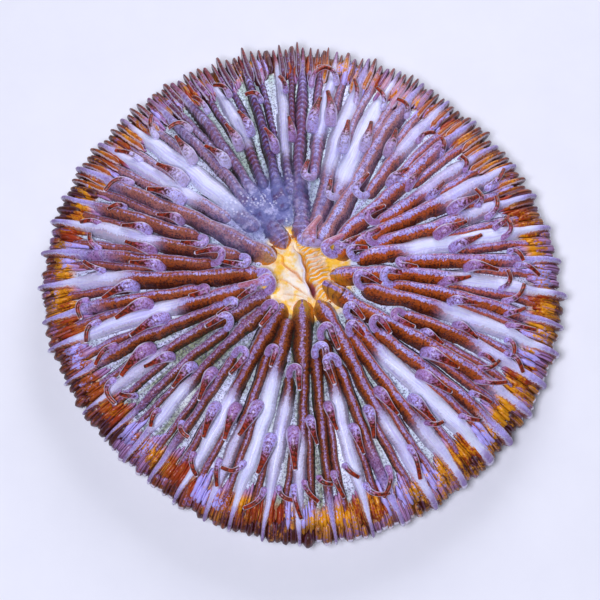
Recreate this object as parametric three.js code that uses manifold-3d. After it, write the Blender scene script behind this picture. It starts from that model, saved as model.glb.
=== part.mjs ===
// Mushroom coral: a solitary stony coral that lies loose on the sea bed.
// It grew as one piece: a domed disc with radial ridges in cycles, a slit mouth at the crown,
// a toothed rim, and short tentacles that lean outwards from the inner ends of the ridges.
// Millimetres, +Z up. The origin is the middle of the flat scar that the disc rests on.
import * as THREE from "three";
import { mergeVertices } from "three/addons/utils/BufferGeometryUtils.js";
import Module from "manifold-3d";

// Driving dimensions of the disc
const DISC_RADIUS = 40; // mean radius, out to the floor of the valleys at the rim
const CROWN_HEIGHT = 13.6; // valley floor beside the mouth
const RIM_HEIGHT = 5.6; // valley floor at the rim
const RIM_THICKNESS = 1.8; // from the rim's valleys down to the edge of the underside
const SCAR_RADIUS = 17; // flat face in the middle of the underside
const DOME_FULLNESS = 0.75; // below 1 the dome stays high and falls steeply at the rim

// Outline: small shares of the radius that make the disc less than round
const OUTLINE_SKEW = -0.016; // wave with two crests, on the diagonals
const OUTLINE_CORNERS = 0.015; // wave with four crests, on the axes

// Mouth slit
const MOUTH_TURN = THREE.MathUtils.degToRad(113);
const MOUTH_HALF_LENGTH = 5.2;
const MOUTH_HALF_WIDTH = 2.8;
const MOUTH_DEPTH = 4.2;

// Ridges stand at stations around the disc. Each cycle starts further out than the one
// before it and fills its gaps. Start is a share of the radius, and crest the share of a
// ridge's width that is flat on top.
const STATIONS = 96;
const CYCLES = [
  { every: 8, first: 0, start: 0.12, height: 2.1, halfWidth: 0.95, crest: 0.55, tooth: 0.8 },
  { every: 8, first: 4, start: 0.17, height: 2, halfWidth: 0.95, crest: 0.55, tooth: 0.8 },
  { every: 4, first: 2, start: 0.32, height: 1.8, halfWidth: 0.9, crest: 0.55, tooth: 0.8 },
  { every: 2, first: 1, start: 0.61, height: 1.2, halfWidth: 0.65, crest: 0, tooth: 0.5 },
];
const FOOT_SHARE = 0.45; // most of the gap to a neighbour that half a ridge may take
const HEAD_LENGTH = 0.035; // share of the radius over which a ridge rises at its inner end
const RIM_TAPER = 0.6; // share of its height that a ridge loses towards the rim
const TAPER_START = 0.8; // share of the radius where that taper begins
const TOOTH_START = 0.9; // share of the radius where the rim's teeth begin
const STATION_SCATTER = 0.2; // of the gap between stations
const START_SCATTER = 0.1; // of a ridge's start
const START_STRIDE = 3; // stations that the scatter of the starts skips

// Rows of the mesh, as shares of the radius, with the cycles that each row follows
const ROWS = [
  { cycles: 1, shares: [0.04, 0.075, 0.11, 0.14, 0.16] },
  { cycles: 2, shares: [0.175, 0.21, 0.26, 0.3] },
  { cycles: 3, shares: [0.33, 0.37, 0.48, 0.59] },
  { cycles: 4, shares: [0.61, 0.65, 0.77, 0.89, 1] },
];
const UNDERSIDE_SIDES = 72;
const UNDERSIDE_REACH = 0.985; // share of the radius at the edge of the underside

// Tentacles, at the inner ends of the third cycle's ridges and of every other fourth one
const TENTACLE_EVERY = 4; // stations, after which the tentacles repeat
const TENTACLE_STATIONS = [1, 2]; // of those stations
const TENTACLE_LENGTH = 4.4;
const TENTACLE_RADII = [0.85, 0.75, 0.28]; // at the root, on the arch and at the tip
const TENTACLE_SIDES = 5;
const TENTACLE_ROOT = 0.25; // height of its root, as a share of the ridge's height
const TENTACLE_ARCH = 0.3; // share of its length where it stands highest
const TENTACLE_RISE = 1.3; // of its arch above the ridge
const TENTACLE_DROOP = 0.4; // of its tip below the arch
const TENTACLE_SWING = 0.05; // radians to either side
const SWING_STRIDE = 5; // stations that the scatter of the swings skips

const CORAL_COLOUR = "#a08bbd";
const CORAL_ROUGHNESS = 0.55;

const TURN = 2 * Math.PI;
const GOLDEN = 0.6180339887;

// Spreads whole numbers evenly over -1 to 1, so that neighbours differ and nothing repeats.
function scatter(number, stride = 1) {
  return ((number * stride * GOLDEN) % 1) * 2 - 1;
}

function outlineRadius(angle) {
  const waves = OUTLINE_SKEW * Math.sin(2 * angle) + OUTLINE_CORNERS * Math.cos(4 * angle);
  return DISC_RADIUS * (1 + waves);
}

// Depth of the mouth: a long dimple along the slit's direction.
function mouthDepth(x, y) {
  const along = (x * Math.cos(MOUTH_TURN) + y * Math.sin(MOUTH_TURN)) / MOUTH_HALF_LENGTH;
  const across = (y * Math.cos(MOUTH_TURN) - x * Math.sin(MOUTH_TURN)) / MOUTH_HALF_WIDTH;
  return MOUTH_DEPTH * Math.exp(-((along ** 2 + across ** 2) ** 2));
}

// A point on the valley floor, lifted by a ridge and pushed out by a tooth.
function surfacePoint(angle, share, lift = 0, reach = 0) {
  const radius = outlineRadius(angle) * share + reach;
  const x = radius * Math.cos(angle);
  const y = radius * Math.sin(angle);
  const dome = (CROWN_HEIGHT - RIM_HEIGHT) * (1 - share ** 2) ** DOME_FULLNESS;
  return new THREE.Vector3(x, y, RIM_HEIGHT + dome - mouthDepth(x, y) + lift);
}

// The ridges of the first so many cycles, in order around the disc.
function ridgesOf(cycleCount) {
  const ridges = [];
  for (let station = 0; station < STATIONS; station++) {
    const cycle = CYCLES.findIndex((c) => station % c.every === c.first);
    if (cycle >= cycleCount) continue;
    const angle = ((station + STATION_SCATTER * scatter(station)) * TURN) / STATIONS;
    const start = CYCLES[cycle].start * (1 + START_SCATTER * scatter(station, START_STRIDE));
    ridges.push({ ...CYCLES[cycle], cycle, station, angle, start });
  }
  return ridges;
}

// Height of a ridge above the floor: it rises at its head and tapers to the rim.
function ridgeHeight(ridge, share) {
  const { smoothstep } = THREE.MathUtils;
  const head = smoothstep(share, ridge.start, ridge.start + HEAD_LENGTH);
  return ridge.height * head * (1 - RIM_TAPER * smoothstep(share, TAPER_START, 1));
}

function vertexAt(angle, point) {
  return { turn: angle / TURN, point };
}

// One row around the top: each ridge has a crest, and a foot to either side of it.
function topRing(share, cycleCount) {
  const ridges = ridgesOf(cycleCount);
  return ridges.flatMap((ridge, i) => {
    const before = i > 0 ? ridges[i - 1].angle : ridges.at(-1).angle - TURN;
    const after = i + 1 < ridges.length ? ridges[i + 1].angle : ridges[0].angle + TURN;
    const half = ridge.halfWidth / (outlineRadius(ridge.angle) * share);
    const left = Math.min(half, FOOT_SHARE * (ridge.angle - before));
    const right = Math.min(half, FOOT_SHARE * (after - ridge.angle));
    const lift = ridgeHeight(ridge, share);
    const reach = ridge.tooth * THREE.MathUtils.smoothstep(share, TOOTH_START, 1);
    const foot = (angle) => vertexAt(angle, surfacePoint(angle, share));
    const crest = (angle) => vertexAt(angle, surfacePoint(angle, share, lift, reach));
    const sides = ridge.crest > 0 ? [-left * ridge.crest, right * ridge.crest] : [0];
    const top = sides.map((side) => crest(ridge.angle + side));
    return [foot(ridge.angle - left), ...top, foot(ridge.angle + right)];
  });
}

// A plain row around the underside.
function undersideRing(radiusAt, height) {
  return Array.from({ length: UNDERSIDE_SIDES }, (_, i) => {
    const angle = (i * TURN) / UNDERSIDE_SIDES;
    const radius = radiusAt(angle);
    const point = new THREE.Vector3(radius * Math.cos(angle), radius * Math.sin(angle), height);
    return vertexAt(angle, point);
  });
}

// Skins a stack of rings, which may differ in count, and closes both ends with a fan.
function loft(rings) {
  const positions = [];
  const triangles = [];
  const addPoint = (point) => positions.push(...point.toArray()) / 3 - 1;
  const stacked = rings.map((ring) => ring.map((v) => ({ turn: v.turn, id: addPoint(v.point) })));
  const idAt = (ring, i) => ring[i % ring.length].id;
  const turnAt = (ring, i) => ring[i % ring.length].turn + Math.floor(i / ring.length);
  // Walks two rings once around, always stepping along the one whose next vertex comes first.
  const bridge = (inner, outer) => {
    let i = 0;
    let o = 0;
    while (i < inner.length || o < outer.length) {
      const innerNext = i < inner.length ? turnAt(inner, i + 1) : Infinity;
      const outerNext = o < outer.length ? turnAt(outer, o + 1) : Infinity;
      const innerSteps = innerNext < outerNext;
      const third = innerSteps ? idAt(inner, i + 1) : idAt(outer, o + 1);
      triangles.push(idAt(inner, i), idAt(outer, o), third);
      if (innerSteps) i++;
      else o++;
    }
  };
  const fan = (ring, points, facingStart) => {
    const middle = points.reduce((sum, v) => sum.add(v.point), new THREE.Vector3());
    const centre = addPoint(middle.divideScalar(points.length));
    ring.forEach((v, i) => {
      const pair = [v.id, idAt(ring, i + 1)];
      triangles.push(centre, ...(facingStart ? pair : pair.reverse()));
    });
  };
  stacked.slice(1).forEach((ring, i) => bridge(stacked[i], ring));
  fan(stacked[0], rings[0], true);
  fan(stacked.at(-1), rings.at(-1), false);
  const geometry = new THREE.BufferGeometry();
  geometry.setAttribute("position", new THREE.Float32BufferAttribute(positions, 3));
  geometry.setIndex(triangles);
  return geometry;
}

// The disc: rows from the mouth to the rim, then the sloping underside and the flat scar.
function discGeometry() {
  const top = ROWS.flatMap(({ cycles, shares }) => shares.map((share) => topRing(share, cycles)));
  const edge = undersideRing((angle) => outlineRadius(angle) * UNDERSIDE_REACH, RIM_HEIGHT - RIM_THICKNESS);
  const scar = undersideRing(() => SCAR_RADIUS, 0);
  return loft([...top, edge, scar]);
}

// A tapered finger that leaves the head of a ridge, arches over it and leans outwards.
function tentacleGeometry(ridge) {
  const swing = TENTACLE_SWING * scatter(ridge.station, SWING_STRIDE);
  const pointAt = (along, lift) => {
    const share = ridge.start + HEAD_LENGTH / 2 + (along * TENTACLE_LENGTH) / DISC_RADIUS;
    return surfacePoint(ridge.angle + swing * along, share, lift);
  };
  const top = ridge.height + TENTACLE_RISE;
  const path = new THREE.CatmullRomCurve3([
    pointAt(0, ridge.height * TENTACLE_ROOT),
    pointAt(TENTACLE_ARCH, top),
    pointAt(1, top - TENTACLE_DROOP),
  ]);
  const side = new THREE.Vector3(Math.sin(ridge.angle), -Math.cos(ridge.angle), 0);
  const rings = TENTACLE_RADII.map((radius, i) => {
    const share = i / (TENTACLE_RADII.length - 1);
    const centre = path.getPoint(share);
    const up = new THREE.Vector3().crossVectors(side, path.getTangent(share));
    return Array.from({ length: TENTACLE_SIDES }, (_, j) => {
      const angle = (j * TURN) / TENTACLE_SIDES;
      const spoke = side.clone().multiplyScalar(Math.cos(angle)).addScaledVector(up, Math.sin(angle));
      return vertexAt(angle, centre.clone().addScaledVector(spoke, radius));
    });
  });
  return loft(rings);
}

const wasm = await Module();
wasm.setup();

function solidOf(geometry) {
  const merged = mergeVertices(geometry);
  return new wasm.Manifold(
    new wasm.Mesh({
      numProp: 3,
      vertProperties: merged.attributes.position.array,
      triVerts: new Uint32Array(merged.index.array),
    }),
  );
}

function geometryOf(solid) {
  const mesh = solid.getMesh();
  const geometry = new THREE.BufferGeometry();
  geometry.setAttribute("position", new THREE.BufferAttribute(mesh.vertProperties, mesh.numProp));
  geometry.setIndex(new THREE.BufferAttribute(mesh.triVerts, 1));
  geometry.computeVertexNormals();
  return geometry;
}

// The disc with its tentacles grown into it, as one solid.
function coralGeometry() {
  const bearers = ridgesOf(CYCLES.length).filter(({ station }) =>
    TENTACLE_STATIONS.includes(station % TENTACLE_EVERY),
  );
  const tentacles = bearers.map((ridge) => solidOf(tentacleGeometry(ridge)));
  const grown = tentacles.reduce((coral, tentacle) => coral.add(tentacle), solidOf(discGeometry()));
  return geometryOf(grown);
}

const material = new THREE.MeshStandardMaterial({
  color: CORAL_COLOUR,
  roughness: CORAL_ROUGHNESS,
  metalness: 0,
});
const coral = new THREE.Mesh(coralGeometry(), material);
coral.name = "coral";

const mushroomCoral = new THREE.Group();
mushroomCoral.add(coral);

export default mushroomCoral;
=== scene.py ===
"""Living looks for a mushroom coral: tissue over the stony disc, its ridges, rim and tentacles."""

import math

import bpy
import numpy as np
from bpy.props import FloatProperty, FloatVectorProperty, IntProperty, PointerProperty
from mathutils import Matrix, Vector


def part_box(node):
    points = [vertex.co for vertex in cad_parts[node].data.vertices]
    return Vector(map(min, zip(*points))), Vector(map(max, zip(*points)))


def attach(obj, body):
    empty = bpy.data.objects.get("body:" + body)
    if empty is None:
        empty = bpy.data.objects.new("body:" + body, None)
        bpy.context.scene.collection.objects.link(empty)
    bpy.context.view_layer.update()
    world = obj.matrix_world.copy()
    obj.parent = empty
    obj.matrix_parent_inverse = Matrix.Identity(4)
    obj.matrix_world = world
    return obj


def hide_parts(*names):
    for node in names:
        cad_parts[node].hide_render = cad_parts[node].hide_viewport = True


bl_info = {
    "name": "Mushroom Coral",
    "version": (1, 0, 0),
    "blender": (4, 5, 0),
    "location": "View3D > Sidebar > Coral",
    "description": "Builds a mushroom coral's ridges, rim, mouth and tentacles over its stony disc",
    "category": "Add Mesh",
}

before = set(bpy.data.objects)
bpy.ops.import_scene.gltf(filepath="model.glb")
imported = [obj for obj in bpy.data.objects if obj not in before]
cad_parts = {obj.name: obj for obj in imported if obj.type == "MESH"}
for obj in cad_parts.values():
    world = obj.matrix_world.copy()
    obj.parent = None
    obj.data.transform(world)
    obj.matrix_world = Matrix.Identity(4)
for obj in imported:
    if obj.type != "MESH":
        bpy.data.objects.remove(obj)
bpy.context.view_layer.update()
LOW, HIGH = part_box("coral")

MM = 0.001
TURN = 2 * math.pi
GOLDEN = 0.6180339887

# Shares of the stony disc's own size
OUTLINE_SKEW = -0.016
OUTLINE_CORNERS = 0.015
DOME_FULLNESS = 0.75
CROWN_SHARE = 0.817
RIM_SHARE = 0.3365
RIM_THICKNESS_SHARE = 0.108
SCAR_SHARE = 0.425
UNDERSIDE_REACH = 0.985

# Ridges stand at stations around the disc, in cycles that start further and further out, with
# heights and half widths in millimetres
STATIONS = 96
STATION_SCATTER = 0.2
START_STRIDE = 3
CYCLES = (
    {"every": 8, "first": 0, "start": 0.135, "scatter": 0.2, "end": 1.0, "height": 2.6, "half_width": 1.3},
    {"every": 8, "first": 4, "start": 0.23, "scatter": 0.2, "end": 1.0, "height": 2.5, "half_width": 1.27},
    {"every": 4, "first": 2, "start": 0.37, "scatter": 0.18, "end": 1.0, "height": 2.3, "half_width": 1.2},
    {"every": 2, "first": 1, "start": 0.61, "scatter": 0.12, "end": 0.93, "height": 1.1, "half_width": 0.8},
)
# Pieces that the ridges make: name, cycles, rings along a ridge, corners around it, and cells side
# by side in the bake's map
RIDGE_PIECES = (
    ("long_ridges", (0, 1), 200, 18, 2),
    ("middle_ridges", (2,), 150, 18, 2),
    ("short_ridges", (3,), 90, 12, 4),
)
MAIN_GAP = 360 / STATIONS * 2  # degrees between the ridges of the first three cycles
RIDGE_FOOT = 1.22  # where the thin foot of a ridge ends, in half widths
TAPER_START = 0.76  # share of the radius where ridges begin to sink towards the rim
TOOTH_START = 0.9  # share of the radius where they begin to stand out from it
TOOTH_BEFORE_BEND = 0.4  # share of its reach that an end has before it bends down
BEND_DROP = 0.85  # how far it bends down, as a share of the depth of the rim's edge
OVER_EDGE = 0.06  # how far the share of the radius counts on past 1 over that bend
RING_STEP = 0.95  # millimetres between the rings on the ridges behind the mouth
FINGER_STATION = 72  # the ridge that reaches into the front of the mouth
FINGER_START = 0.11
BARE_STATIONS = (64, FINGER_STATION)  # ridges in front of the mouth that bear no tentacle
INNER_START = 0.2  # ridges that start within this share of the radius have stouter tentacles
THINNEST_END = 0.05  # how full the first and last ring of a tube are
VEIL_SWELL = 0.9 * MM
BLEACH_SWELL = 0.6 * MM
MOUTH_PLACE = (0.8, 0.2)  # middle of the slit from the middle of the disc, in millimetres

# Patches around the disc: direction and spread in degrees, and strength
PATCHES = {
    "red": ((163, 32, 1.0), (270, 36, 0.6), (338, 16, 0.5)),  # redder rust
    "brown": ((270, 36, 0.85), (218, 20, 1.0)),  # brown crests
    "dusk": ((104, 26, 1.0),),  # dusky, ringed crests behind the mouth
    "blush": ((68, 17, 0.65), (130, 19, 0.9)),  # pale crests and golden flanks
    # Olive also sets where painted shade darkens the inner valleys and the ridges' foot
    "olive": ((272, 32, 0.9), (108, 34, 0.55), (218, 18, 0.9)),  # green valleys
    "mint": ((105, 50, 0.55), (300, 60, 0.3)),  # pale green valleys
    "light": ((70, 12, 0.5), (222, 18, 0.35), (304, 14, 0.5)),  # lavender and rosy folds of the rim
    "gilt": ((318, 28, 1.0),),  # golden folds of the rim
    "blunt": ((314, 20, 1.0),),  # ridges that end broad and round
    "long_rust": ((0, 70, 0.08),),  # rust that runs on towards the rim, as a share of the radius
    "stout": ((215, 60, 0.16),),  # larger hooded tentacles
    "veil": ((116, 32, 1.0),),  # swollen tissue behind and left of the mouth
    "tongue": ((101, 9, 1.0),),  # golden tissue behind the mouth
}
MINT_ALL_ROUND = 0.45
LIGHT_ALL_ROUND = 0.3

# Bleached ridges: angle in degrees, shares of the radius where the stripe runs, and breadth
PALE_STRIPES = (
    (1, 0.6, 0.97, 0.9), (15, 0.42, 0.97, 1.0), (23, 0.7, 0.95, 0.6), (31, 0.65, 0.95, 0.6),
    (39, 0.6, 0.88, 0.5), (51, 0.66, 0.95, 0.6), (66, 0.42, 0.95, 1.0), (74, 0.45, 0.85, 0.8),
    (83, 0.6, 0.97, 0.9), (97, 0.5, 0.95, 0.7), (113, 0.6, 0.9, 0.8), (133, 0.35, 0.95, 1.0),
    (141, 0.52, 0.93, 0.8), (165, 0.57, 0.93, 0.8), (179, 0.68, 0.93, 0.7), (195, 0.5, 0.92, 0.9),
    (210, 0.66, 0.96, 0.7), (224, 0.64, 0.86, 0.9), (238, 0.56, 0.96, 0.9), (247, 0.66, 0.95, 0.6),
    (254, 0.42, 0.93, 1.0), (263, 0.5, 0.95, 0.8), (270, 0.65, 0.97, 0.7), (283, 0.49, 0.97, 0.9),
    (298, 0.64, 1.0, 0.8), (308, 0.74, 1.0, 0.8), (317, 0.44, 1.0, 1.0), (327, 0.84, 0.96, 0.6),
    (335, 0.72, 0.93, 0.6), (348, 0.56, 0.95, 0.9),
)

# Rings of the disc: over the mouth and the valleys where they start and end, as shares of the
# radius, and how many there are, and below that only how many
BODY_COLUMNS = 480
MOUTH_RINGS = (0.004, 0.17, 58)
VALLEY_RINGS = (0.175, 1.0, 74)
EDGE_RINGS = 8
UNDER_RINGS = 30
SCAR_RINGS = 8

# Rings along the finer pieces and corners around them
FOLD_RINGS = 16
FOLD_CORNERS = 10
LOBE_RINGS = 20
LOBE_CORNERS = 14
HOOK_RINGS = 40
HOOD_RINGS = 34
SLIM_RINGS = 26
TENTACLE_CORNERS = 12

# Seeds that keep the waves of breadths, heights and pieces apart
BREADTH_SEED = 40
RISE_SEED = 80
FOLD_SEED = 200
SLIM_SEED = 300
LOBE_SEED = 600

# Heights of the mouth's forms, in millimetres
HOLLOW_DEPTH = 0.9
SLIT_DEPTH = 0.4
OPEN_DEPTH = 1.7  # added where the slit stands open
LIP_HEIGHT = 1.7
LIP_ROLL = 0.45
LIP_CREASE = 0.45
BAND_HEIGHT = 1.2
BAND_FOLD = 0.42

# Grain of the tissue
FINE_GRAIN = 0.25 * MM
FINE_DEPTH = 0.08 * MM


def paint(red, green, blue):
    """A colour's linear red, green and blue from its eight-bit screen values."""
    screen = np.array([red, green, blue]) / 255
    return tuple(np.where(screen <= 0.04045, screen / 12.92, ((screen + 0.055) / 1.055) ** 2.4))


def length(name, description, default):
    """A length property, in metres."""
    return FloatProperty(name=name, description=description, default=default, unit="LENGTH", precision=5)


def share(name, description, default):
    """A property that is a share, from 0 to 1."""
    return FloatProperty(name=name, description=description, default=default, subtype="FACTOR", min=0, max=1)


def whole(name, description, default):
    """A property that is a whole number."""
    return IntProperty(name=name, description=description, default=default, min=1)


def colour(name, description, *screen):
    """A colour property from eight-bit screen values."""
    return FloatVectorProperty(
        name=name, description=description, default=paint(*screen), subtype="COLOR", size=3, min=0, max=1
    )


class CoralSizes(bpy.types.PropertyGroup):
    """Sizes of the disc and of what grows on it."""

    tooth: length("Tooth", "How far a ridge's end stands out from the rim", 0.8 * MM)
    crown: length("Crown", "Height of the valley floor at the crown", CROWN_SHARE * HIGH.z)
    rim: length("Rim", "Height of the valley floor at the rim", RIM_SHARE * HIGH.z)
    rim_thickness: length("Rim thickness", "Depth of the rim's edge", RIM_THICKNESS_SHARE * HIGH.z)
    ridge_taper: share("Ridge taper", "Share of its height that a ridge loses at the rim", 0.4)
    ridge_wander: length("Ridge wander", "How far a ridge strays to either side", 0.16 * MM)
    ridge_sway: length("Ridge sway", "How far neighbouring ridges lean to one side together", 0.5 * MM)
    ridge_beads: length("Ridge beads", "Height of the beads along a ridge", 0.04 * MM)
    mouth_turn: FloatProperty(
        name="Mouth turn", description="Direction of the slit", default=math.radians(111), subtype="ANGLE"
    )
    hook_bend: length("Hook bend", "Radius of the bend of a hooked tentacle", 0.8 * MM)
    hook_length: length("Hook length", "Length of a hooked tentacle past its bend", 3.0 * MM)
    hook_radius: length("Hook radius", "Radius of a hooked tentacle", 0.62 * MM)
    hood_length: length("Hood length", "Length of a hooded tentacle", 5.6 * MM)
    hood_radius: length("Hood radius", "Radius of a hooded tentacle's head", 0.95 * MM)
    slim_length: length("Slim length", "Length of a slim tentacle near the rim", 4.8 * MM)
    slim_radius: length("Slim radius", "Radius of a slim tentacle", 0.46 * MM)
    rim_folds: whole("Rim folds", "Fine folds between two main ridges", 9)
    rim_lobes: whole("Rim lobes", "Lobes over the edge between two main ridges", 4)


class CoralColours(bpy.types.PropertyGroup):
    """Colours of the tissue."""

    crest: colour("Crest", "Tops of the ridges", 188, 176, 246)
    crest_rose: colour("Rosy crest", "Tops of some ridges", 176, 134, 196)
    crest_brown: colour("Brown crest", "Tops of the ridges in front of the mouth", 140, 78, 104)
    crest_dusk: colour("Dusky crest", "Tops of the ridges behind the mouth", 124, 104, 168)
    # Maroon crest also paints the shade on ridge ends that turn down over the rim
    crest_maroon: colour("Maroon crest", "Rings on the ridges behind the mouth", 96, 38, 58)
    speckle: colour("Speckle", "Fine dots on the crests", 84, 48, 104)
    pale: colour("Pale", "Bleached ridges", 230, 232, 255)
    rust: colour("Rust", "Flanks of the ridges", 204, 92, 0)
    rust_red: colour("Red rust", "Flanks of some ridges", 172, 80, 8)
    # Deep rust also paints shade: at the rim's edge, at the ridges' foot and in the lobes' grooves
    rust_deep: colour("Deep rust", "Foot of the flanks", 66, 16, 4)
    valley: colour("Valley", "Floor between the ridges", 220, 216, 255)
    valley_mint: colour("Mint valley", "Pale floor between the ridges", 226, 252, 252)
    valley_olive: colour("Olive valley", "Green floor between the ridges", 128, 134, 70)
    # Olive foot is partly the tissue's green edge and partly painted shade at the ridges' foot and in the
    # inner valleys
    foot_olive: colour("Olive foot", "Foot of the ridges before and behind the mouth", 36, 54, 32)
    gold: colour("Gold", "Folds of the rim", 236, 158, 6)
    mouth_gold: colour("Mouth gold", "Folds of the mouth", 255, 202, 56)
    # Mouth amber is painted shade in the mouth's creases, troughs and slit
    mouth_amber: colour("Mouth amber", "Creases of the mouth", 220, 132, 20)
    # Mouth cream is the lip's own colour, and a painted highlight on the tops of the band's folds
    mouth_cream: colour("Mouth cream", "Lip of the mouth", 255, 242, 222)
    mouth_deep: colour("Mouth deep", "Bottom of the slit", 172, 84, 96)
    veil: colour("Veil", "Swollen tissue beside the mouth", 108, 110, 166)
    core: colour("Core", "Inside of a tentacle", 164, 50, 8)
    # Tip also paints the glints on the ends of ridges and lobes, as painted highlights
    tip: colour("Tip", "Tips and edges of the tentacles", 240, 236, 255)
    underside: colour("Underside", "Bare stone below", 214, 200, 178)


def sizes():
    """The sizes that the scene holds."""
    return bpy.context.scene.coral_sizes


def colours():
    """The colours that the scene holds."""
    return bpy.context.scene.coral_colours


# Shapes

def scatter(number, stride=1):
    """Whole numbers spread evenly over -1 to 1: twice the fraction of their golden multiples, less one.
    Every stride spreads them in another order."""
    return np.mod(np.asarray(number) * stride * GOLDEN, 1.0) * 2 - 1


def smoothstep(value, low, high):
    """0 below low, 1 above high, and a cubic with level ends between them."""
    ramp = np.clip((value - low) / (high - low), 0, 1)
    return ramp * ramp * (3 - 2 * ramp)


def bell(value, half_width):
    """A bump of height 1 that falls to 1/e at half_width to either side."""
    return np.exp(-np.square(value / half_width))


def plateau(value, half_width):
    """A flat bump of height 1 with soft ends: e to the minus fourth power of value by half width."""
    return np.exp(-((value / half_width) ** 4))


def angle_gap(angle, degrees):
    """The signed turn, in degrees, from a direction in degrees to an angle in radians."""
    return np.mod(np.degrees(angle) - degrees + 180, 360) - 180


def cover(name, angle):
    """How far the named patches cover a direction: a sum of bells around the disc."""
    return sum(strength * bell(angle_gap(angle, turn), spread) for turn, spread, strength in PATCHES[name])


def ripple(place, seed):
    """A smooth wave from -1 to 1 that doesn't repeat: three sines with seeded phases."""
    phase = scatter(seed, 7) * math.pi
    return (
        np.sin(place + phase) + 0.7 * np.sin(2.3 * place + 2 * phase) + 0.5 * np.sin(4.1 * place - 3 * phase)
    ) / 2.2


def mottle(x, y, size):
    """A smooth blotchy pattern from -1 to 1: sines across the plane in four directions."""
    waves = [
        np.sin(x / size * math.cos(turn) * (1 + turn) + y / size * math.sin(turn) * (1.7 + turn) + 5 * turn)
        for turn in (0.3, 1.2, 2.0, 2.7)
    ]
    return sum(waves) / 2.6


def disc_radius():
    """Mean radius of the valley floor at the rim, from the stony disc's width and its teeth."""
    return ((HIGH.x - LOW.x) / 2 - sizes().tooth) / (1 + OUTLINE_CORNERS)


def outline(angle):
    """Radius of the rim: a circle with a two-crested and a four-crested wave."""
    return disc_radius() * (1 + OUTLINE_SKEW * np.sin(2 * angle) + OUTLINE_CORNERS * np.cos(4 * angle))


def slit_place(x, y):
    """Distance along the mouth's slit and to its left, in millimetres."""
    turn = sizes().mouth_turn
    right = x / MM - MOUTH_PLACE[0]
    back = y / MM - MOUTH_PLACE[1]
    return right * math.cos(turn) + back * math.sin(turn), back * math.cos(turn) - right * math.sin(turn)


def slit_offset(along, left):
    """Distance to the left of the slit's line, which bends a little along its length."""
    return left + 0.35 * np.sin(0.7 * along) + 0.12 * np.sin(2.3 * along + 1)


def slit_opening(along):
    """How far the slit stands open along its length: shut behind, and open towards the front."""
    return smoothstep(-along, 0.5, 2.5)


def lip_cover(along, left):
    """How far the lip on the left of the slit covers a place."""
    beside = smoothstep(slit_offset(along, left), 0.0, 0.5) * (1 - smoothstep(left, 2.8, 5.6))
    return beside * plateau(along, 4.6)


def lip_creases(along, left):
    """Creases of the lip: thin lines that fan out from the front end of the slit."""
    turned = np.arctan2(left - 0.3, along + 4.6)
    return bell(np.sin(9 * turned + 0.9 * mottle(along, left, 1.4)), 0.26) * smoothstep(left, 0.7, 1.5)


def lip_edge(along, left):
    """The rolled edge of the lip, along the slit."""
    return bell(slit_offset(along, left) - 0.5, 0.32) * plateau(along, 4.3)


def band_cover(along, left):
    """How far the folded band on the right of the slit covers a place."""
    beside = smoothstep(-slit_offset(along, left), 0.1, 0.5) * (1 - smoothstep(-left, 1.8, 4.4))
    return beside * plateau(along, 5.4)


def mouth_folds(along, left):
    """Folds that run across the slit: a sine along it, from -1 to 1, slanted and a little uneven."""
    return np.sin(TURN * along / 0.74 + 0.9 * left + 1.3 * mottle(along, left, 1.0))


def mouth_relief(x, y):
    """Height of the mouth: a shallow hollow, a narrow slit in it, a creased lip with a rolled edge
    on the left, and a band of folds across the slit on the right."""
    along, left = slit_place(x, y)
    opening = slit_opening(along)
    hollow = -HOLLOW_DEPTH * np.exp(-np.square((along / 6.6) ** 2 + (left / 5.4) ** 2))
    beside = slit_offset(along, left) + 0.25 * opening
    slit = -(SLIT_DEPTH + OPEN_DEPTH * opening) * bell(beside, 0.24 + 0.34 * opening) * plateau(along, 4.1)
    lip = (LIP_HEIGHT - LIP_CREASE * lip_creases(along, left)) * lip_cover(along, left)
    roll = LIP_ROLL * lip_edge(along, left)
    band = (BAND_HEIGHT + BAND_FOLD * mouth_folds(along, left)) * band_cover(along, left)
    return (hollow + slit + lip + roll + band) * MM


def veil_cover(angle, radius_share):
    """How far the swollen veil covers a place: a patch behind and left of the mouth."""
    rising = smoothstep(radius_share, 0.15, 0.26)
    return cover("veil", angle) * rising * (1 - smoothstep(radius_share, 0.34, 0.52))


def mouth_cover(angle, radius_share):
    """How far golden tissue reaches past the mouth: a tongue behind it."""
    return cover("tongue", angle) * (1 - smoothstep(radius_share, 0.16, 0.21))


def finger_cover(angle):
    """How far the lobes of the rim stand up as fingers: on the far half of the rim."""
    return smoothstep(np.sin(angle), 0.2, 0.6)


def stripe_run(radius_share, start, end, lead, fade):
    """How far along a stripe a place is: rises within the lead to either side of the start, and
    falls between the two ends of the fade, which count from the end."""
    risen = smoothstep(radius_share, start - lead, start + lead)
    return risen * (1 - smoothstep(radius_share, end + fade[0], end + fade[1]))


def bleach_cover(angle, radius_share):
    """How far the floor is bleached: along the pale stripes and a little to either side of them."""
    bleached = np.zeros(np.broadcast_shapes(np.shape(angle), np.shape(radius_share)))
    for turn, start, end, breadth in PALE_STRIPES:
        run = stripe_run(radius_share, start, end, 0.08, (-0.14, -0.04))
        bleached = np.maximum(bleached, bell(angle_gap(angle, turn), 4.2) * run * breadth)
    return bleached


def pale_cover(angle, radius_share):
    """How far each ridge is bleached along its length, from the stripes nearest to its angle."""
    bleached = np.zeros(np.broadcast_shapes(angle.shape, radius_share.shape))
    for turn, start, end, breadth in PALE_STRIPES:
        near = np.abs(angle_gap(angle, turn)) < MAIN_GAP / 2
        run = stripe_run(radius_share, start, end, 0.05, (-0.02, 0.04))
        bleached = np.maximum(bleached, near * run * breadth)
    return bleached


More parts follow.
